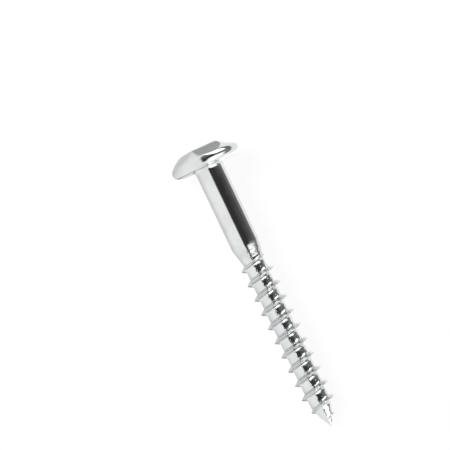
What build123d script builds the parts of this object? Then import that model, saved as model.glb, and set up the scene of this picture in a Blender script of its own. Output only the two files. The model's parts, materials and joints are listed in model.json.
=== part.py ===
from build123d import *
import math
import os

# A one-piece wood screw with a low domed head, lying on its side on the floor at Z = 0.
# Its axis runs from the head at -X to the point at +X, a little downhill. Millimetres and degrees.

# Head
head_diameter = 14.0
head_height = 3.85           # bearing face to flat top
crown_cut = 0.9              # how much of the dome the flat top takes away
rim_radius = 1.2             # full round of the rim, from the bearing face up to the dome
facet_count = 5
facet_apothem = 3.4          # axis to the middle of each side of the flat top
facet_slope = 30.0           # below the flat top
facet_turn = 20.4            # from straight up to one corner of the flat top

# Six-lobed drive recess
lobe_count = 6
drive_diameter = 5.6         # across the lobes
flute_depth = 0.8            # from a lobe's tip in to the waist between two lobes
lobe_tip_radius = 0.45
drive_depth = 2.7
drive_floor_angle = 130.0    # included angle of the cone at the bottom
countersink_margin = 0.35    # how far the countersink's mouth stands outside the lobes
countersink_angle = 100.0    # included angle

# Shank, core and point, measured along the axis
screw_length = 55.0          # bearing face to the tip of the point
shank_diameter = 5.75
shank_length = 16.7          # bearing face to the end of the plain shank
neck_fillet = 0.8            # between the bearing face and the shank
taper_length = 3.3           # from the shank down to the core
taper_overlap = 1.0          # how far the taper goes on inside the core
core_diameter = 4.2
point_length = 5.0
nose_length = 2.3            # blunter cone that ends the point
nose_diameter = 2.4          # where the two cones of the point meet

# Thread, right-hand, single start
thread_diameter = 6.2
thread_pitch = 3.0
thread_delay = 2.1           # end of the shank to where the ridge rises out of the taper
thread_run_in = 2.8          # from there to the first full crest
thread_start_turn = 180.0    # where the ridge begins, counted from straight up
thread_fall_lead = 1.0       # how far before the point the crests start to shrink
thread_fall_power = 1.5      # how late they shrink, where 1 is a straight line
bare_tip = 0.4               # length of the point past where the crests have shrunk to the axis
start_sink = 0.1             # how far the ridge begins below the taper's surface
head_flank_angle = 33.0      # side of the ridge towards the head, from square to the axis
tip_flank_angle = 22.0       # side towards the point
stations_per_turn = 30       # places round each turn where the thread's section is set out
shortest_edge = 0.00001      # a face with a shorter edge is only a line or a point

head_radius = head_diameter / 2
rim_centre = head_radius - rim_radius
crown_height = head_height + crown_cut
drive_radius = drive_diameter / 2
waist_radius = drive_radius - flute_depth
shank_radius = shank_diameter / 2
core_radius = core_diameter / 2
nose_radius = nose_diameter / 2
crest_radius = thread_diameter / 2
taper_slope = (shank_radius - core_radius) / taper_length
taper_end = shank_length + taper_length + taper_overlap
point_start = screw_length - point_length
nose_start = screw_length - nose_length
thread_start = shank_length + thread_delay
thread_full = thread_start + thread_run_in
thread_fall = point_start - thread_fall_lead
thread_end = screw_length - bare_tip

# The screw rests on the rim of its head and on the last full crest that faces down.
first_crest_down = thread_start + thread_pitch * ((180 - thread_start_turn) / 360 % 1)
crests_between = math.floor((thread_fall - first_crest_down) / thread_pitch)
rest_crest = first_crest_down + crests_between * thread_pitch
drop = rim_centre - crest_radius
reach = rest_crest + rim_radius
slant = math.atan2(drop, reach) + math.asin(rim_radius / math.hypot(drop, reach))
towards_tip = Vector(math.cos(slant), 0, -math.sin(slant))
upwards = Vector(math.sin(slant), 0, math.cos(slant))

# Height of the axis at the bearing face, and its distance from the middle of the lying screw.
axis_height = rim_centre * math.cos(slant) + rim_radius * (1 - math.sin(slant))
dome_radius = (rim_centre ** 2 + crown_height * (crown_height - 2 * rim_radius)) / (
    2 * (crown_height - 2 * rim_radius)
)
flat_reach = math.sqrt(crown_cut * (2 * dome_radius - crown_cut))
head_overhang = flat_reach * math.sin(slant) + head_height * math.cos(slant)
bearing_x = (head_overhang - screw_length * math.cos(slant)) / 2

# The screw's own frame: origin in the bearing face, X upwards, Z towards the tip.
bearing = Plane(origin=(bearing_x, 0, axis_height), x_dir=upwards, z_dir=towards_tip)
lengthwise = Plane(origin=bearing.origin, x_dir=upwards, z_dir=-bearing.y_dir)
flat_top = bearing.moved(Location((0, 0, -head_height), (0, 0, facet_turn)))
screw_axis = Axis(bearing.origin, towards_tip)


def polar(radius, degrees):
    """Point of a sketch at a radius and an angle."""
    return Vector(radius * math.cos(math.radians(degrees)), radius * math.sin(math.radians(degrees)))


def drive_outline():
    """Closed line of the recess: round lobe tips joined by tangent hollow flutes."""
    half_step = 180 / lobe_count
    lobe_centre = drive_radius - lobe_tip_radius
    inward = lobe_centre * math.cos(math.radians(half_step))
    gap = lobe_centre ** 2 + waist_radius ** 2 - 2 * waist_radius * inward - lobe_tip_radius ** 2
    flute_radius = gap / (2 * (lobe_tip_radius + inward - waist_radius))
    lobe_share = lobe_tip_radius / (lobe_tip_radius + flute_radius)
    for lobe in range(lobe_count):
        middle = 2 * half_step * lobe
        lobe_at, next_at = polar(lobe_centre, middle), polar(lobe_centre, middle + 2 * half_step)
        flute_before = polar(waist_radius + flute_radius, middle - half_step)
        flute_after = polar(waist_radius + flute_radius, middle + half_step)
        tip_start = lobe_at + (flute_before - lobe_at) * lobe_share
        tip_end = lobe_at + (flute_after - lobe_at) * lobe_share
        next_start = next_at + (flute_after - next_at) * lobe_share
        ThreePointArc(tip_start, polar(drive_radius, middle), tip_end)
        ThreePointArc(tip_end, polar(waist_radius, middle + half_step), next_start)


def core_radius_at(level):
    """Radius of the core, or of the point, at a distance from the bearing face."""
    if level < point_start:
        return core_radius
    if level < nose_start:
        share = (level - point_start) / (nose_start - point_start)
        return core_radius + (nose_radius - core_radius) * share
    return nose_radius * max(screw_length - level, 0) / nose_length


def crest_radius_at(level):
    """Radius of the thread's crest at a distance from the bearing face."""
    if level < thread_full:
        first = shank_radius - thread_delay * taper_slope - start_sink
        return first + (crest_radius - first) * max(level - thread_start, 0) / thread_run_in
    fallen = max(level - thread_fall, 0) / (thread_end - thread_fall)
    return crest_radius * (1 - min(fallen, 1) ** thread_fall_power)


def thread_section(level):
    """Foot, crest and foot of the thread where its crest is at a distance from the bearing face."""
    height = max(crest_radius_at(level) - core_radius_at(level), 0)
    turn = thread_start_turn + 360 * (level - thread_start) / thread_pitch
    corners = []
    for lift, flank_angle in ((0, -head_flank_angle), (height, 0), (0, tip_flank_angle)):
        along = min(level + height * math.tan(math.radians(flank_angle)), screw_length)
        corner = polar(core_radius_at(along) + lift, turn) + (0, 0, along)
        corners.append(bearing.from_local_coords(corner))
    return corners


def threaded_core():
    """Core, thread and point as one closed solid of narrow flat faces, its start inside the shank."""
    step = thread_pitch / stations_per_turn
    buried_start = thread_start - thread_pitch
    stations = math.ceil((screw_length + thread_pitch - buried_start) / step)
    sections = [thread_section(buried_start + step * station) for station in range(stations + 1)]
    pairs = list(zip(sections, sections[1:]))

    # Round end, with a step where one whole turn of the thread has passed
    end_middle = bearing.from_local_coords((0, 0, buried_start))
    outlines = [[end_middle, *sections[0], sections[stations_per_turn][0]]]
    outlines += [[end_middle, near[0], far[0]] for near, far in pairs[:stations_per_turn]]

    # Both flanks of the thread
    for near, far in pairs:
        for corner in (0, 1):
            outlines.append([near[corner], near[corner + 1], far[corner + 1]])
            outlines.append([near[corner], far[corner + 1], far[corner]])

    # Core between one turn of the thread and the next
    for (near, far), (next_near, next_far) in zip(pairs, pairs[stations_per_turn:]):
        outlines.append([near[2], next_near[0], next_far[0]])
        outlines.append([near[2], next_far[0], far[2]])

    faces = []
    for outline in outlines:
        edges = [(end - start).length for start, end in zip(outline, outline[1:] + outline[:1])]
        if min(edges) > shortest_edge:
            faces.append(Face(Wire.make_polygon(outline, close=True)))
    return Solid(Shell(faces))


os.makedirs("parts", exist_ok=True)

with BuildPart() as screw:
    # Dome and full-round rim, tangent to each other
    with BuildSketch(lengthwise):
        dome_centre = Vector(0, dome_radius - crown_height)
        to_rim = (Vector(rim_centre, -rim_radius) - dome_centre).normalized()
        shoulder = dome_centre + to_rim * dome_radius
        with BuildLine():
            ThreePointArc((rim_centre, 0), (head_radius, -rim_radius), shoulder)
            RadiusArc(shoulder, (0, -crown_height), dome_radius)
            Polyline((0, -crown_height), (0, 0), (rim_centre, 0))
        make_face()
    revolve(axis=screw_axis)

    # Flat top, and the facets that slope down from its sides
    split(bisect_by=flat_top, keep=Keep.TOP)
    for facet in range(facet_count):
        side = flat_top.moved(Rotation(0, 0, 360 / facet_count * (facet + 0.5)))
        side = side.moved(Location((facet_apothem, 0, 0), (0, -facet_slope, 0)))
        split(bisect_by=side, keep=Keep.TOP)

    # Plain shank, with the taper that leads into the core
    with BuildSketch(lengthwise):
        with BuildLine():
            neck = (shank_radius + neck_fillet, 0)
            RadiusArc(neck, (shank_radius, neck_fillet), neck_fillet)
            Polyline(
                (shank_radius, neck_fillet),
                (shank_radius, shank_length),
                (core_radius - taper_overlap * taper_slope, taper_end),
                (0, taper_end),
                (0, 0),
                neck,
            )
        make_face()
    revolve(axis=screw_axis)

    # Six-lobed recess, one lobe in line with a corner of the flat top
    with BuildSketch(flat_top):
        with BuildLine():
            drive_outline()
        make_face()
    extrude(amount=drive_depth, mode=Mode.SUBTRACT)

    # Countersunk mouth and coned floor of the recess
    with BuildSketch(lengthwise):
        mouth_radius = drive_radius + countersink_margin
        mouth_depth = mouth_radius / math.tan(math.radians(countersink_angle / 2))
        floor_depth = waist_radius / math.tan(math.radians(drive_floor_angle / 2))
        for level, radius, depth in (
            (-head_height, mouth_radius, mouth_depth),
            (drive_depth - head_height, waist_radius, floor_depth),
        ):
            Polygon((0, level), (radius, level), (0, level + depth), align=None)
    revolve(axis=screw_axis, mode=Mode.SUBTRACT)

    add(threaded_core())

screw.part.label = "screw"
export_step(screw.part, "parts/screw.step")
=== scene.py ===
import json
import math

import bmesh
import bpy
from mathutils import Matrix, Vector


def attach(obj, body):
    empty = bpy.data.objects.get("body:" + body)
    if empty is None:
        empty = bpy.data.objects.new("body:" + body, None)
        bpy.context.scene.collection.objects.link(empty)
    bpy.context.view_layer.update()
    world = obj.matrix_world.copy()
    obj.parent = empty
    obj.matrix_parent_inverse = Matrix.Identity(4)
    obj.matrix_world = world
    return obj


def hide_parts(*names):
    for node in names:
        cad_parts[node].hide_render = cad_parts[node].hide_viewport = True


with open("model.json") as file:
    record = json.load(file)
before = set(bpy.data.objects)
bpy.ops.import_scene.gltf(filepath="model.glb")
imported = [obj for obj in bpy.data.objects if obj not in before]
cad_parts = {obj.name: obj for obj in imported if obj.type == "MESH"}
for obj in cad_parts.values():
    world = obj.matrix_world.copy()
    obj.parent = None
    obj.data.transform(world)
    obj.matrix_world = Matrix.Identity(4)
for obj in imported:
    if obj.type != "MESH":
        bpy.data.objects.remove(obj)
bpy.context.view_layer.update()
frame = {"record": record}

# A polished wood screw with a low faceted head, lying on a pale floor in soft studio light.
# Lengths are millimetres in the screw's own frame: level runs from the bearing face of the head
# towards the tip, angle from straight up towards the photograph's left. The scene is in metres.

MM = 0.001

# Head
HEAD_RADIUS = 7.0
HEAD_HEIGHT = 3.85
CROWN_CUT = 0.9              # how much of the dome the flat top takes away
RIM_RADIUS = 1.2
RIM_CENTRE = HEAD_RADIUS - RIM_RADIUS
CROWN_HEIGHT = HEAD_HEIGHT + CROWN_CUT
FACETS = 5
FACET_APOTHEM = 3.4          # axis to the middle of each side of the flat top
FACET_SLOPE = 30.0
FACET_TURN = 20.4            # from straight up to one corner of the flat top
FACET_EASE = 0.05            # how softly the facets run into the dome
FLAT_EASE = 0.4              # how softly the flat top runs into the facets

# Six-lobed drive recess
LOBES = 6
LOBE_REACH = 2.8
LOBE_TIP_RADIUS = 0.45
WAIST_RADIUS = 2.0
DRIVE_DEPTH = 2.7
DRIVE_FLOOR_ANGLE = 130.0
MOUTH_RADIUS = 3.15
COUNTERSINK_ANGLE = 100.0
RECESS_EASE = 0.07           # radius that breaks the edges of the recess

# Shank, core and point
SCREW_LENGTH = 55.0
SHANK_RADIUS = 2.875
SHANK_LENGTH = 16.7
SHANK_EASE = 0.35            # half the length over which the shank turns into the taper
NECK_FILLET = 0.8
TAPER_LENGTH = 3.3
CORE_RADIUS = 2.1
POINT_START = 50.0
NOSE_START = 52.7
NOSE_RADIUS = 1.2
TAPER_SLOPE = (SHANK_RADIUS - CORE_RADIUS) / TAPER_LENGTH

# Thread
CREST_RADIUS = 3.1
PITCH = 3.0
THREAD_START = 18.8
THREAD_RUN_IN = 2.8
THREAD_START_TURN = 180.0
THREAD_FALL = 49.0
THREAD_END = 54.6
THREAD_FALL_POWER = 1.5
START_SINK = 0.1
HEAD_FLANK_ANGLE = 33.0
TIP_FLANK_ANGLE = 22.0
CREST_EASE = 0.08            # how softly the ridge turns over at its crest
FOOT_EASE = 0.2              # how softly it runs into the core
TAPER_EASE = 0.25            # how softly the ridge and core run into the taper
RIDGE_FOOT = 0.2             # height of the ridge's foot, which is as bright as the core
# Painted shade: the ridge's colour is darker above its foot, standing in for the shade between the
# thread's turns
RIDGE_PAINTED_SHADE = 0.14         # share of its brightness that the ridge has lost above the foot

# Mesh of the head and shank. Each profile's points are the same in number at every angle.
HEAD_COLUMNS = 360
SHANK_COLUMNS = 180
FLOOR_SHARES = (0.1, 0.4, 0.7, 0.93)        # of the waist's radius, on the coned floor
LOBE_FLOOR_SHARES = (0.33, 0.67)            # of the way from there to the wall
FLOOR_CORNER_TURNS = (90, 60, 30, 0)        # round the corner of floor and wall
WALL_SHARES = (0.12, 0.5, 0.9)              # of the wall's depth
FLAT_SHARES = (0.5, 1)                      # of the flat top, out to its edge
EDGE_GAP = 0.06                             # between the rings at the flat top's edge
CROWN_RINGS = 46
RIM_STEPS = 28
BEARING_INSETS = (0.3, 0.9)                 # inwards from the rim, on the bearing face
NECK_MARGINS = (0.7, 0.2)                   # outwards from the neck's fillet, on the same face
FILLET_STEPS = 14
SHANK_RINGS = (0.2, 1, 4, 8, 12, 14.6)      # beyond the neck's fillet
TAPER_TURN_STEPS = 6
JOINT_LEVEL = 17.21          # on the taper, where the thread's mesh joins the shank's

# Mesh of the thread
JOINT_SNAP = 0.03            # rows nearer the joint than this lie on it
TIP_SNAP = 0.2               # rows nearer the tip than this lie on it
LEAST_ROW_HEIGHT = 0.3       # the rows stand as far apart as on a ridge at least this high
CREST_ROW_SHARE = 0.25       # most of the flank's width that the rows at the crest take up
FOOT_ROW_SHARE = 0.4         # most of the flank's width that the rows at the foot take up
FOOT_ROW_REACH = 0.12        # and the most that they take up in millimetres

# Corners nearer each other than this are one corner, in the thread's grid and in the whole screw
GRID_WELD = 0.001
SHELL_WELD = 0.0008
SHORTEST_EDGE = 0.0001       # a shorter edge is taken out

# View
PICTURE_SIDE = 450
PIXELS_PER_MM = 5.24
AXIS_FROM_VERTICAL = 25.4    # in the picture, the tip to the right
VIEW_LEAN = 2.0              # how far the camera stands to the tip's side of square to the axis
VIEW_CENTRE_LEVEL = 11.5     # level of the point in the middle of the picture
VIEW_CENTRE_LEFT = 1.948     # how far that point is to the photograph's left of the axis
CAMERA_DISTANCE = 0.6        # metres
SENSOR_MM = 36.0

# Steel, its relief in metres
MARK_STRETCH = 0.09          # the drawing marks' frequency along the screw, beside that round it
MARK_RELIEF = 0.00002
ROLLED_RELIEF = 0.0001
ROLLED_LEAST = 0.02          # share of the rolled thread's waves that the drawn shank has too
DARKER_TINT = (0.74, 0.75, 0.755, 1)
LIGHTER_TINT = (0.82, 0.825, 0.83, 1)

# Floor and lamp, in metres
FLOOR_HALF_SIDE = 1.2
FLOOR_GLOW_SHARE = 0.9       # share of the floor's look that is plain white, the rest takes shadow
LAMP_PLACE = (-0.3, -0.35, 0.7)
LAMP_SIZE = 0.5
LAMP_WATTS = 5.0

# Light that the steel mirrors. Angles are in degrees: across from straight up towards the
# photograph's right, lengthwise from square to the axis towards the tip.
ROOM_LIGHT = 0.97
# Each panel's span across, its span lengthwise, how soft its edges are, and its brightness.
# A later panel lies over the ones before it.
PANELS = (
    (-240, -112, -45, 12, 40, 0.6),
    (-215, -167, 14, 52, 8, 0.5),
    (-210, -162, 11, 26, 5, 0.35),
    (150, 172, -38, 45, 8, 1.2),
    (168, 210, 10, 62, 5, 1.35),
    (-12, 99, -66, 42, 5, 0.035),
    (-12, 99, -66, -18, 14, 0.16),
    (50, 99, -66, 42, 14, 0.07),
    (78, 99, -66, 42, 12, 0.17),
    (30, 95, 2, 30, 5, 0.24),
    (11, 72, 22, 84, 12, 1.9),
)
# Bright panel on the head's side, and the line that cuts off its corner
HEAD_PANEL = (15, 78, -96, -12, 5, 1.9)
HEAD_PANEL_CUT_SLOPE = 1.6
HEAD_PANEL_CUT_START = -76
HEAD_PANEL_CUT_SOFTNESS = 9
# Duller patch low down on the head's side: where it begins, for a direction of length 1, and how
# softly. The last also says where it ends.
LOW_PATCH_HEADWARD = (0.68, 0.08)
LOW_PATCH_DOWNWARD = (0.1, 0.2)
LOW_PATCH_RIGHTWARD = (-0.13, 0.32, 0.05)
LOW_PATCH_LOSS = 0.57


def mount(name):
    """Place and direction of one of the part's mounts."""
    found = next(entry for entry in frame["record"]["mounts"] if entry["name"] == name)
    return Vector(found["pos_m"]), Vector(found["axis"]).normalized()


SHANK_PLACE, TOWARDS_TIP = mount("shank")
BEARING = SHANK_PLACE + TOWARDS_TIP * TOWARDS_TIP.dot(mount("bearing_face")[0] - SHANK_PLACE)
PHOTO_LEFT = Vector((0, -1, 0))
UPWARDS = PHOTO_LEFT.cross(TOWARDS_TIP)
SLANT = math.atan2(-TOWARDS_TIP.z, TOWARDS_TIP.x)
OWN_AXES = Matrix((UPWARDS, PHOTO_LEFT, TOWARDS_TIP)).transposed().to_4x4()
IN_PLACE = Matrix.Translation(BEARING) @ OWN_AXES @ Matrix.Scale(MM, 4)


def eased_max(first, second, ease):
    """The larger of two levels, with a soft change from one to the other."""
    near = max(ease - abs(first - second), 0) / ease
    return max(first, second) + near ** 3 * ease / 6


def from_middle(angle, count):
    """Angle to the nearest of a number of equal steps round the head, counted from a corner."""
    step = 360 / count
    return (angle - FACET_TURN + step / 2) % step - step / 2


def dome():
    """Radius of the dome and the level of its centre, tangent to the round of the rim."""
    low = CROWN_HEIGHT - 2 * RIM_RADIUS
    radius = (RIM_CENTRE ** 2 + CROWN_HEIGHT * low) / (2 * low)
    return radius, radius - CROWN_HEIGHT


def flat_edge(angle):
    """Radius of the flat top's outline."""
    aside = math.radians(from_middle(angle + 180 / FACETS, FACETS))
    dome_radius, centre = dome()
    circle = math.sqrt(dome_radius ** 2 - (centre + HEAD_HEIGHT) ** 2)
    return min(FACET_APOTHEM / math.cos(aside), circle)


def cut_level(level, radius, angle):
    """Level of the crown once the flat top and the facets are cut into it."""
    aside = math.radians(from_middle(angle + 180 / FACETS, FACETS))
    slope = math.tan(math.radians(FACET_SLOPE))
    facet = slope * (radius * math.cos(aside) - FACET_APOTHEM) - HEAD_HEIGHT
    return eased_max(eased_max(level, facet, FACET_EASE), -HEAD_HEIGHT, FLAT_EASE)


def crown_point(radius, angle):
    """Point of the crown at a radius."""
    dome_radius, centre = dome()
    return radius, cut_level(centre - math.sqrt(dome_radius ** 2 - radius ** 2), radius, angle)


def rim_point(degrees, angle):
    """Point of the rim's round, from its dome side at less than 0 to the bearing face at 90."""
    radius = RIM_CENTRE + RIM_RADIUS * math.cos(math.radians(degrees))
    level = RIM_RADIUS * (math.sin(math.radians(degrees)) - 1)
    return radius, cut_level(level, radius, angle) if degrees < 0 else level


def drive_wall(angle):
    """Radius of the recess's six-lobed outline."""
    aside = math.radians(abs(from_middle(angle, LOBES)))
    half_step = math.pi / LOBES
    lobe_centre = LOBE_REACH - LOBE_TIP_RADIUS
    inward = lobe_centre * math.cos(half_step)
    gap = lobe_centre ** 2 + WAIST_RADIUS ** 2 - 2 * WAIST_RADIUS * inward - LOBE_TIP_RADIUS ** 2
    flute_radius = gap / (2 * (LOBE_TIP_RADIUS + inward - WAIST_RADIUS))
    flute_centre = WAIST_RADIUS + flute_radius
    share = LOBE_TIP_RADIUS / (LOBE_TIP_RADIUS + flute_radius)
    touch_along = lobe_centre + (flute_centre * math.cos(half_step) - lobe_centre) * share
    touch_aside = flute_centre * math.sin(half_step) * share
    if aside < math.atan2(touch_aside, touch_along):
        across = lobe_centre * math.sin(aside)
        return lobe_centre * math.cos(aside) + math.sqrt(LOBE_TIP_RADIUS ** 2 - across ** 2)
    aside = half_step - aside
    across = flute_centre * math.sin(aside)
    return flute_centre * math.cos(aside) - math.sqrt(flute_radius ** 2 - across ** 2)


def floor_level(radius):
    """Level of the coned floor of the recess."""
    cone = (WAIST_RADIUS - radius) / math.tan(math.radians(DRIVE_FLOOR_ANGLE / 2))
    return DRIVE_DEPTH - HEAD_HEIGHT + max(cone, 0)


def countersink_level(radius):
    """Level of the recess's countersunk mouth."""
    return (MOUTH_RADIUS - radius) / math.tan(math.radians(COUNTERSINK_ANGLE / 2)) - HEAD_HEIGHT


def broken_edge(before, corner, after):
    """Three points that go round a corner softly."""
    middle = tuple((b + 2 * c + a) / 4 for b, c, a in zip(before, corner, after))
    return [before, middle, after]


def recess_profile(angle):
    """Points from near the middle of the recess's floor out to its mouth."""
    wall = drive_wall(angle)
    radii = [share * WAIST_RADIUS for share in FLOOR_SHARES]
    beyond = wall - RECESS_EASE - radii[-1]
    radii += [radii[-1] + beyond * share for share in LOBE_FLOOR_SHARES]
    points = [(radius, floor_level(radius)) for radius in radii]
    bottom = floor_level(WAIST_RADIUS)
    for degrees in FLOOR_CORNER_TURNS:
        turn = math.radians(degrees)
        inwards = RECESS_EASE * (1 - math.cos(turn))
        points.append((wall - inwards, bottom - RECESS_EASE * (1 - math.sin(turn))))
    top = countersink_level(wall)
    points += [(wall, bottom + (top - bottom) * share) for share in WALL_SHARES]
    lip = wall + RECESS_EASE
    points += broken_edge((wall, top + RECESS_EASE), (wall, top), (lip, countersink_level(lip)))
    halfway = (lip + MOUTH_RADIUS) / 2
    points.append((halfway, countersink_level(halfway)))
    inside, outside = MOUTH_RADIUS - RECESS_EASE, MOUTH_RADIUS + RECESS_EASE
    mouth = crown_point(outside, angle)
    points += broken_edge((inside, countersink_level(inside)), (MOUTH_RADIUS, mouth[1]), mouth)
    return points


def crown_profile(angle):
    """Points from the mouth of the recess over the crown and the rim to the bearing face."""
    edge = flat_edge(angle)
    mouth = MOUTH_RADIUS + RECESS_EASE
    radii = [mouth + (edge - EDGE_GAP - mouth) * share for share in FLAT_SHARES]
    radii += [edge, edge + EDGE_GAP]
    centre = dome()[1]
    shoulder_turn = math.degrees(math.atan2(-RIM_RADIUS - centre, RIM_CENTRE))
    shoulder = RIM_CENTRE + RIM_RADIUS * math.cos(math.radians(shoulder_turn))
    start = edge + 2 * EDGE_GAP
    for ring in range(CROWN_RINGS):
        radii.append(start + (shoulder - start) * ring / (CROWN_RINGS - 1))
    points = [crown_point(radius, angle) for radius in radii]
    for step in range(1, RIM_STEPS + 1):
        points.append(rim_point(shoulder_turn + (90 - shoulder_turn) * step / RIM_STEPS, angle))
    return points + [(RIM_CENTRE - inset, 0) for inset in BEARING_INSETS]


def shank_profile():
    """Points from the bearing face round the neck's fillet and along the shank onto the taper."""
    points = [(SHANK_RADIUS + NECK_FILLET + margin, 0) for margin in NECK_MARGINS]
    for step in range(FILLET_STEPS + 1):
        turn = math.pi / 2 * step / FILLET_STEPS
        level = NECK_FILLET * (1 - math.cos(turn))
        points.append((SHANK_RADIUS + NECK_FILLET * (1 - math.sin(turn)), level))
    points += [(SHANK_RADIUS, NECK_FILLET + along) for along in SHANK_RINGS]
    for step in range(TAPER_TURN_STEPS + 1):
        share = step / TAPER_TURN_STEPS
        level = SHANK_LENGTH + SHANK_EASE * (2 * share - 1)
        points.append((SHANK_RADIUS - SHANK_EASE * TAPER_SLOPE * share ** 2, level))
    points.append((taper_radius(JOINT_LEVEL), JOINT_LEVEL))
    return points


def taper_radius(level):
    """Radius of the taper between the shank and the core."""
    return SHANK_RADIUS - TAPER_SLOPE * (level - SHANK_LENGTH)


def add_ring(shell, points, columns):
    """A closed ring of corners, from the radius and level of each column."""
    ring = []
    for column, (radius, level) in enumerate(points):
        turn = math.radians(FACET_TURN + 360 * column / columns)
        ring.append(shell.verts.new((radius * math.cos(turn), radius * math.sin(turn), level)))
    return ring


def add_band(shell, inner, outer):
    """Faces between two rings, where the second has as many corners as the first or half."""
    ratio = len(inner) // len(outer)
    for column in range(len(outer)):
        after = (column + 1) % len(outer)
        near = [inner[(column * ratio + step) % len(inner)] for step in range(ratio + 1)]
        if ratio == 1:
            shell.faces.new((near[0], near[1], outer[after], outer[column]))
        else:
            shell.faces.new((near[0], near[1], outer[column]))
            shell.faces.new((near[1], outer[after], outer[column]))
            shell.faces.new((near[1], near[2], outer[after]))


def head_and_shank():
    """The head with its recess, and the plain shank down to where the thread's mesh begins."""
    shell = bmesh.new()
    angles = [FACET_TURN + 360 * column / HEAD_COLUMNS for column in range(HEAD_COLUMNS)]
    profiles = [recess_profile(angle) + crown_profile(angle) for angle in angles]
    rings = [add_ring(shell, points, HEAD_COLUMNS) for points in zip(*profiles)]
    for point in shank_profile():
        rings.append(add_ring(shell, [point] * SHANK_COLUMNS, SHANK_COLUMNS))
    for inner, outer in zip(rings, rings[1:]):
        add_band(shell, inner, outer)
    middle = shell.verts.new((0, 0, floor_level(0)))
    for start, end in zip(rings[0], rings[0][1:] + rings[0][:1]):
        shell.faces.new((middle, end, start))
    mesh = bpy.data.meshes.new("head_and_shank")
    shell.to_mesh(mesh)
    shell.free()
    return mesh


class Figure:
    """A number that a tree of nodes works out, written as plain arithmetic."""

    def __init__(self, tree, socket):
        self.tree = tree
        self.socket = socket

    def worked(self, operation, *others):
        node = self.tree.nodes.new("ShaderNodeMath")
        node.operation = operation
        for entry, value in zip(node.inputs, (self, *others)):
            if isinstance(value, Figure):
                self.tree.links.new(value.socket, entry)
            else:
                entry.default_value = value
        return Figure(self.tree, node.outputs[0])

    def __add__(self, other):
        return self.worked("ADD", other)

    def __sub__(self, other):
        return self.worked("SUBTRACT", other)

    def __mul__(self, other):
        return self.worked("MULTIPLY", other)

    def __truediv__(self, other):
        return self.worked("DIVIDE", other)

    def __pow__(self, other):
        return self.worked("POWER", other)

    def at_least(self, other):
        return self.worked("MAXIMUM", other)

    def at_most(self, other):
        return self.worked("MINIMUM", other)


THREAD_SIZES = {
    "Pitch": PITCH,
    "Start level": THREAD_START,
    "Start turn": THREAD_START_TURN,
    "Run-in": THREAD_RUN_IN,
    "Start radius": taper_radius(THREAD_START) - START_SINK,
    "Crest radius": CREST_RADIUS,
    "Fall level": THREAD_FALL,
    "Fall length": THREAD_END - THREAD_FALL,
    "Fall power": THREAD_FALL_POWER,
    "Core radius": CORE_RADIUS,
    "Point level": POINT_START,
    "Point slope": (CORE_RADIUS - NOSE_RADIUS) / (NOSE_START - POINT_START),
    "Tip level": SCREW_LENGTH,
    "Nose slope": NOSE_RADIUS / (SCREW_LENGTH - NOSE_START),
    "Taper level": SHANK_LENGTH,
    "Taper radius": SHANK_RADIUS,
    "Taper slope": TAPER_SLOPE,
    "Head flank": math.tan(math.radians(HEAD_FLANK_ANGLE)),
    "Tip flank": math.tan(math.radians(TIP_FLANK_ANGLE)),
    "Crest ease": CREST_EASE,
    "Foot ease": FOOT_EASE,
    "Taper ease": TAPER_EASE,
    "Joint level": JOINT_LEVEL,
}

# Where the rows beside the crest of a turn lie, from the crest out to halfway to the next turn:
# shares of the crest's ease, of the flank's width, of the foot's ease and of the land beyond it.
ROW_PLACES = (
    (0.0, 0.0, 0.0, 0.0),
    (0.4, 0.0, 0.0, 0.0),
    (1.2, 0.0, 0.0, 0.0),
    (0.5, 0.5, -0.5, 0.0),
    (0.0, 1.0, -1.0, 0.0),
    (0.0, 1.0, 0.0, 0.0),
    (0.0, 1.0, 1.0, 0.0),
    (0.0, 1.0, 0.5, 0.5),
    (0.0, 1.0, 0.0, 1.0),
)
THREAD_ROWS = 2 * len(ROW_PLACES) - 1


def row_share(tree, row, column):
    """A node that picks each row's entry from one column of the table of row places."""
    pick = tree.nodes.new("GeometryNodeIndexSwitch")
    pick.data_type = "FLOAT"
    while len(pick.index_switch_items) < len(ROW_PLACES):
        pick.index_switch_items.new()
    tree.links.new(row.socket, pick.inputs[0])
    for entry, places in zip(pick.inputs[1:], ROW_PLACES):
        entry.default_value = places[column]
    return Figure(tree, pick.outputs[0])


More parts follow.
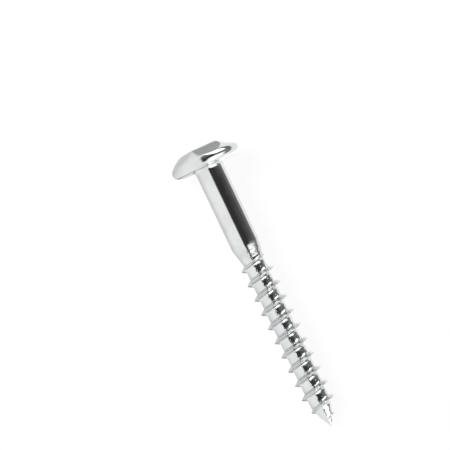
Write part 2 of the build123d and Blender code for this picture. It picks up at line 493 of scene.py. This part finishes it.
def thread_tree(material):
    """Node tree that winds a grid into the core with its thread, from the taper to the tip."""
    tree = bpy.data.node_groups.new("wound_thread", "GeometryNodeTree")
    tree.interface.new_socket("Geometry", in_out="OUTPUT", socket_type="NodeSocketGeometry")
    entries = {}
    for name in THREAD_SIZES:
        socket = tree.interface.new_socket(name, in_out="INPUT", socket_type="NodeSocketFloat")
        entries[name] = socket.identifier
    given = tree.nodes.new("NodeGroupInput")
    size = {name: Figure(tree, given.outputs[name]) for name in THREAD_SIZES}

    # One grid point for each row and each column along the spiral
    columns_before = math.ceil((THREAD_START - JOINT_LEVEL + PITCH / 2) / PITCH * SHANK_COLUMNS) + 1
    aligned = (FACET_TURN - THREAD_START_TURN) % (360 / SHANK_COLUMNS) / 360 * PITCH
    first_level = THREAD_START + aligned - columns_before * PITCH / SHANK_COLUMNS
    columns = math.ceil((SCREW_LENGTH + PITCH / 2 - first_level) / PITCH * SHANK_COLUMNS) + 1
    grid = tree.nodes.new("GeometryNodeMeshGrid")
    grid.inputs["Size X"].default_value = columns - 1
    grid.inputs["Size Y"].default_value = THREAD_ROWS - 1
    grid.inputs["Vertices X"].default_value = columns
    grid.inputs["Vertices Y"].default_value = THREAD_ROWS
    place = tree.nodes.new("GeometryNodeInputPosition")
    split = tree.nodes.new("ShaderNodeSeparateXYZ")
    tree.links.new(place.outputs[0], split.inputs[0])
    column = Figure(tree, split.outputs["X"]) + (columns - 1) / 2
    row = Figure(tree, split.outputs["Y"]).worked("ROUND")
    side = row.worked("SIGN")
    row_number = row.worked("ABSOLUTE")

    # Level, height and turn of the crest
    crest_level = column.worked("ROUND") * (PITCH / SHANK_COLUMNS) + first_level
    rising = (crest_level - size["Start level"]).at_least(0) / size["Run-in"]
    rise = size["Start radius"] + (size["Crest radius"] - size["Start radius"]) * rising
    fallen = ((crest_level - size["Fall level"]).at_least(0) / size["Fall length"]).at_most(1)
    shrunk = size["Crest radius"] - size["Crest radius"] * fallen ** size["Fall power"]
    crest = rise.at_most(shrunk)

    def core_at(level):
        point = size["Core radius"] - (level - size["Point level"]) * size["Point slope"]
        nose = (size["Tip level"] - level) * size["Nose slope"]
        return size["Core radius"].at_most(point).at_most(nose).at_least(0)

    height = (crest - core_at(crest_level)).at_least(0)
    turns = (crest_level - size["Start level"]) / size["Pitch"]
    turn = (turns * 360 + size["Start turn"]) * math.radians(1)

    # Distance of the row from the crest
    tipward = (side + 1) / 2
    flank = size["Head flank"] + (size["Tip flank"] - size["Head flank"]) * tipward
    foot = height.at_least(LEAST_ROW_HEIGHT) * flank
    foot_reach = (foot * FOOT_ROW_SHARE).at_most(FOOT_ROW_REACH)
    land = size["Pitch"] / 2 - foot
    shares = [row_share(tree, row_number, entry) for entry in range(4)]
    crest_reach = size["Crest ease"].at_most(foot * CREST_ROW_SHARE)
    apart = crest_reach * shares[0] + foot * shares[1] + foot_reach * shares[2] + land * shares[3]
    wanted = crest_level + apart * side

    # Keep to the length between the taper and the tip
    past_joint = wanted.worked("GREATER_THAN", size["Joint level"] + JOINT_SNAP)
    before_tip = wanted.worked("LESS_THAN", size["Tip level"] - TIP_SNAP)
    level = size["Joint level"] + (wanted - size["Joint level"]) * past_joint
    level = size["Tip level"] - (size["Tip level"] - level) * before_tip

    # Radius: the ridge stands on the core, and both run softly into the taper
    ease = size["Crest ease"]
    down = ((apart * apart + ease * ease).worked("SQRT") - ease) / flank
    foot_ease = size["Foot ease"].at_most(height / 2)
    ridge = (height - down).worked("SMOOTH_MAX", 0.0, foot_ease)
    taper = size["Taper radius"] - (level - size["Taper level"]) * size["Taper slope"]
    radius = (core_at(level) + ridge).worked("SMOOTH_MAX", taper, size["Taper ease"])

    join = tree.nodes.new("ShaderNodeCombineXYZ")
    figures = (radius * turn.worked("COSINE"), radius * turn.worked("SINE"), level)
    for entry, figure in zip(join.inputs, figures):
        tree.links.new(figure.socket, entry)
    wind = tree.nodes.new("GeometryNodeSetPosition")
    weld = tree.nodes.new("GeometryNodeMergeByDistance")
    weld.inputs["Distance"].default_value = GRID_WELD
    smooth = tree.nodes.new("GeometryNodeSetShadeSmooth")
    realize = tree.nodes.new("GeometryNodeRealizeInstances")
    finish = tree.nodes.new("GeometryNodeSetMaterial")
    finish.inputs["Material"].default_value = material
    out = tree.nodes.new("NodeGroupOutput")
    tree.links.new(join.outputs[0], wind.inputs["Position"])
    tree.links.new(grid.outputs["Mesh"], wind.inputs["Geometry"])
    tree.links.new(wind.outputs[0], weld.inputs["Geometry"])
    tree.links.new(weld.outputs[0], smooth.inputs["Geometry"])
    tree.links.new(smooth.outputs[0], realize.inputs["Geometry"])
    tree.links.new(realize.outputs[0], finish.inputs["Geometry"])
    tree.links.new(finish.outputs[0], out.inputs[0])
    return tree, entries


def threaded_core(material):
    """The core, thread and point as a plain mesh."""
    holder = bpy.data.objects.new("wound_thread", bpy.data.meshes.new("wound_thread"))
    bpy.context.collection.objects.link(holder)
    tree, entries = thread_tree(material)
    winding = holder.modifiers.new("wound_thread", "NODES")
    winding.node_group = tree
    for name, value in THREAD_SIZES.items():
        winding[entries[name]] = value
    holder.update_tag()
    evaluated = holder.evaluated_get(bpy.context.evaluated_depsgraph_get())
    mesh = bpy.data.meshes.new_from_object(evaluated)
    bpy.data.objects.remove(holder)
    return mesh


def build_screw(material):
    """The whole screw as one closed mesh, put where the solid lies."""
    shell = bmesh.new()
    for mesh in (head_and_shank(), threaded_core(material)):
        shell.from_mesh(mesh)
        bpy.data.meshes.remove(mesh)
    bmesh.ops.remove_doubles(shell, verts=shell.verts, dist=SHELL_WELD)
    bmesh.ops.dissolve_degenerate(shell, edges=shell.edges, dist=SHORTEST_EDGE)

    # A face with an open edge is left over where the two meshes meet
    spare = [face for face in shell.faces if any(edge.is_boundary for edge in face.edges)]
    bmesh.ops.delete(shell, geom=spare, context="FACES")

    # Every face points outwards
    bmesh.ops.recalc_face_normals(shell, faces=shell.faces)
    if shell.calc_volume(signed=True) < 0:
        bmesh.ops.reverse_faces(shell, faces=shell.faces)
    for face in shell.faces:
        face.smooth = True
        face.material_index = 0
    shell.transform(IN_PLACE)
    mesh = bpy.data.meshes.new("screw_body")
    shell.to_mesh(mesh)
    shell.free()
    mesh.materials.append(material)
    screw = bpy.data.objects.new("screw_body", mesh)
    bpy.context.collection.objects.link(screw)
    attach(screw, "root")
    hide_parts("screw")


def add_node(material, kind, **values):
    """A node of a material, with the given values on its inputs."""
    node = material.node_tree.nodes.new(kind)
    for name, value in values.items():
        node.inputs[name.replace("_", " ")].default_value = value
    return node


def bright_steel():
    """Polished plated steel with faint drawing marks along the screw, a wavier thread and painted
    shade on the thread's ridge.
    """
    steel = bpy.data.materials.new("bright_steel")
    steel.use_nodes = True
    tree = steel.node_tree
    links = tree.links
    shader = tree.nodes["Principled BSDF"]
    shader.inputs["Metallic"].default_value = 1.0
    place = add_node(steel, "ShaderNodeTexCoord")

    # Drawing marks, patches and grain
    stretch = (MARK_STRETCH, 1, 1)
    along = add_node(steel, "ShaderNodeMapping", Rotation=(0, -SLANT, 0), Scale=stretch)
    links.new(place.outputs["Object"], along.inputs["Vector"])
    marks = add_node(steel, "ShaderNodeTexNoise", Scale=5200.0, Detail=3.0, Roughness=0.6)
    links.new(along.outputs[0], marks.inputs["Vector"])
    patches = add_node(steel, "ShaderNodeTexNoise", Scale=420.0, Detail=4.0, Roughness=0.55)
    links.new(place.outputs["Object"], patches.inputs["Vector"])
    grain = add_node(steel, "ShaderNodeTexNoise", Scale=2600.0, Detail=2.0, Roughness=0.5)
    links.new(place.outputs["Object"], grain.inputs["Vector"])

    tint = tree.nodes.new("ShaderNodeValToRGB")
    tint.color_ramp.elements[0].position = 0.35
    tint.color_ramp.elements[0].color = DARKER_TINT
    tint.color_ramp.elements[1].position = 0.62
    tint.color_ramp.elements[1].color = LIGHTER_TINT
    links.new(patches.outputs["Fac"], tint.inputs["Fac"])

    # Place in the screw's own frame: X along the axis from the bearing face
    own = Matrix.Rotation(-SLANT, 3, "Y")
    start = -(own @ BEARING)
    axial = add_node(steel, "ShaderNodeMapping", Rotation=(0, -SLANT, 0), Location=start)
    links.new(place.outputs["Object"], axial.inputs["Vector"])
    parts = add_node(steel, "ShaderNodeSeparateXYZ")
    links.new(axial.outputs[0], parts.inputs[0])
    level, aside, above = (Figure(tree, parts.outputs[entry]) for entry in range(3))
    radius = (aside * aside + above * above).worked("SQRT")

    # The rolled thread is wavier than the drawn shank, and its ridge is darkened above the foot
    # with painted shade, for the shade between the thread's turns
    rolled = (level - SHANK_LENGTH * MM) / ((THREAD_START - SHANK_LENGTH) * MM)
    rolled = rolled.at_least(ROLLED_LEAST).at_most(1)
    ridge = (radius - (CORE_RADIUS + RIDGE_FOOT) * MM) / (RIDGE_FOOT * MM)
    painted_ridge_shade = rolled * ridge.at_least(0).at_most(1) * -RIDGE_PAINTED_SHADE + 1
    shaded = tree.nodes.new("ShaderNodeVectorMath")
    shaded.operation = "SCALE"
    links.new(tint.outputs["Color"], shaded.inputs[0])
    links.new(painted_ridge_shade.socket, shaded.inputs["Scale"])
    links.new(shaded.outputs[0], shader.inputs["Base Color"])

    # The lighter patches are a little rougher too
    gloss = add_node(
        steel, "ShaderNodeMapRange", From_Min=0.3, From_Max=0.7, To_Min=0.07, To_Max=0.13
    )
    links.new(patches.outputs["Fac"], gloss.inputs["Value"])
    links.new(gloss.outputs["Result"], shader.inputs["Roughness"])

    # Relief: the rolled thread's waves, then the drawing marks, then the fine grain
    waves = add_node(steel, "ShaderNodeTexNoise", Scale=1500.0, Detail=2.0, Roughness=0.5)
    links.new(place.outputs["Object"], waves.inputs["Vector"])
    wavy = add_node(steel, "ShaderNodeBump", Distance=ROLLED_RELIEF)
    links.new(rolled.socket, wavy.inputs["Strength"])
    links.new(waves.outputs["Fac"], wavy.inputs["Height"])
    low = add_node(steel, "ShaderNodeBump", Strength=0.06, Distance=MARK_RELIEF)
    links.new(marks.outputs["Fac"], low.inputs["Height"])
    links.new(wavy.outputs[0], low.inputs["Normal"])
    fine = add_node(steel, "ShaderNodeBump", Strength=0.05, Distance=MARK_RELIEF)
    links.new(grain.outputs["Fac"], fine.inputs["Height"])
    links.new(low.outputs[0], fine.inputs["Normal"])
    links.new(fine.outputs[0], shader.inputs["Normal"])
    return steel


def pale_floor():
    """Wide white floor that keeps the screw's soft shadow."""
    white = bpy.data.materials.new("white_floor")
    white.use_nodes = True
    nodes, links = white.node_tree.nodes, white.node_tree.links
    nodes.clear()
    paper = nodes.new("ShaderNodeBsdfDiffuse")
    paper.inputs["Color"].default_value = (0.9, 0.9, 0.9, 1)
    glow = nodes.new("ShaderNodeEmission")
    glow.inputs["Strength"].default_value = 1.0
    seen = nodes.new("ShaderNodeLightPath")
    share = nodes.new("ShaderNodeMath")
    share.operation = "MULTIPLY"
    share.inputs[1].default_value = FLOOR_GLOW_SHARE
    links.new(seen.outputs["Is Camera Ray"], share.inputs[0])
    mix = nodes.new("ShaderNodeMixShader")
    links.new(share.outputs[0], mix.inputs["Fac"])
    links.new(paper.outputs[0], mix.inputs[1])
    links.new(glow.outputs[0], mix.inputs[2])
    surface = nodes.new("ShaderNodeOutputMaterial")
    links.new(mix.outputs[0], surface.inputs["Surface"])

    sheet = bmesh.new()
    bmesh.ops.create_grid(sheet, x_segments=1, y_segments=1, size=FLOOR_HALF_SIDE)
    mesh = bpy.data.meshes.new("floor")
    sheet.to_mesh(mesh)
    sheet.free()
    mesh.materials.append(white)
    floor = bpy.data.objects.new("floor", mesh)
    bpy.context.collection.objects.link(floor)
    floor.visible_glossy = False


def studio():
    """White surroundings, with one dark gap above between lighter panels, for the steel."""
    world = bpy.data.worlds.new("studio")
    bpy.context.scene.world = world
    world.use_nodes = True
    tree = world.node_tree
    tree.nodes.clear()
    facing = tree.nodes.new("ShaderNodeTexCoord")
    turned = tree.nodes.new("ShaderNodeMapping")
    turned.inputs["Rotation"].default_value = (0, -SLANT, 0)
    tree.links.new(facing.outputs["Generated"], turned.inputs["Vector"])
    parts = tree.nodes.new("ShaderNodeSeparateXYZ")
    tree.links.new(turned.outputs[0], parts.inputs[0])
    tipward, rightward, upward = (Figure(tree, parts.outputs[entry]) for entry in range(3))
    across = rightward.worked("ARCTAN2", upward) * math.degrees(1)
    lengthwise = tipward.at_most(1).at_least(-1).worked("ARCSINE") * math.degrees(1)

    def step_up(angle, where, soft):
        ramp = tree.nodes.new("ShaderNodeMapRange")
        ramp.interpolation_type = "SMOOTHSTEP"
        ramp.inputs["From Min"].default_value = where - soft
        ramp.inputs["From Max"].default_value = where + soft
        tree.links.new(angle.socket, ramp.inputs["Value"])
        return Figure(tree, ramp.outputs["Result"])

    def within(angle, low, high, soft):
        return step_up(angle, low, soft) - step_up(angle, high, soft)

    def laid_over(light, inside, shade):
        return light + (light * -1 + shade) * inside

    light = tipward * 0 + ROOM_LIGHT
    for left, right, headward, far, soft, shade in PANELS:
        inside = within(across, left, right, soft) * within(lengthwise, headward, far, soft)
        light = laid_over(light, inside, shade)

    left, right, headward, far, soft, shade = HEAD_PANEL
    inside = within(across, left, right, soft) * within(lengthwise, headward, far, soft)
    past_cut = lengthwise - across * HEAD_PANEL_CUT_SLOPE
    inside = inside - inside * step_up(past_cut, HEAD_PANEL_CUT_START, HEAD_PANEL_CUT_SOFTNESS)
    light = laid_over(light, inside, shade)

    low_headward = step_up(tipward * -1, *LOW_PATCH_HEADWARD)
    low_headward = low_headward * step_up(upward * -1, *LOW_PATCH_DOWNWARD)
    low_patch = low_headward * within(rightward, *LOW_PATCH_RIGHTWARD)
    light = light * (low_patch * -LOW_PATCH_LOSS + 1)

    room = tree.nodes.new("ShaderNodeBackground")
    room.inputs["Color"].default_value = (1, 1, 1, 1)
    tree.links.new(light.socket, room.inputs["Strength"])
    backdrop = tree.nodes.new("ShaderNodeBackground")
    backdrop.inputs["Color"].default_value = (1, 1, 1, 1)
    seen = tree.nodes.new("ShaderNodeLightPath")
    mix = tree.nodes.new("ShaderNodeMixShader")
    tree.links.new(seen.outputs["Is Camera Ray"], mix.inputs["Fac"])
    tree.links.new(room.outputs[0], mix.inputs[1])
    tree.links.new(backdrop.outputs[0], mix.inputs[2])
    out = tree.nodes.new("ShaderNodeOutputWorld")
    tree.links.new(mix.outputs[0], out.inputs["Surface"])


def soft_lamp():
    """Large soft lamp over the head, to the photograph's left, for the shadow under the screw."""
    lamp = bpy.data.lights.new("soft_lamp", "AREA")
    lamp.shape = "DISK"
    lamp.size = LAMP_SIZE
    lamp.energy = LAMP_WATTS
    holder = bpy.data.objects.new("soft_lamp", lamp)
    holder.location = LAMP_PLACE
    holder.rotation_euler = (-holder.location).to_track_quat("-Z", "Y").to_euler()
    holder.visible_glossy = False
    bpy.context.collection.objects.link(holder)


def camera():
    """Camera above the screw, turned so that the head is at the upper left."""
    lens = bpy.data.cameras.new("camera")
    lens.sensor_width = SENSOR_MM
    field = PICTURE_SIDE / PIXELS_PER_MM * MM
    lens.lens = SENSOR_MM * CAMERA_DISTANCE / field
    lens.clip_start = 0.01
    lens.clip_end = 10
    lean = math.radians(VIEW_LEAN)
    towards_camera = UPWARDS * math.cos(lean) + TOWARDS_TIP * math.sin(lean)
    along = TOWARDS_TIP * math.cos(lean) - UPWARDS * math.sin(lean)
    roll = math.radians(AXIS_FROM_VERTICAL)
    picture_right = along * math.sin(roll) - PHOTO_LEFT * math.cos(roll)
    picture_up = towards_camera.cross(picture_right)
    target = BEARING + (TOWARDS_TIP * VIEW_CENTRE_LEVEL + PHOTO_LEFT * VIEW_CENTRE_LEFT) * MM
    turned = Matrix((picture_right, picture_up, towards_camera)).transposed().to_4x4()
    holder = bpy.data.objects.new("camera", lens)
    holder.matrix_world = Matrix.Translation(target + towards_camera * CAMERA_DISTANCE) @ turned
    bpy.context.collection.objects.link(holder)
    bpy.context.scene.camera = holder


build_screw(bright_steel())
pale_floor()
studio()
soft_lamp()
camera()
bpy.context.scene.view_settings.view_transform = "Standard"
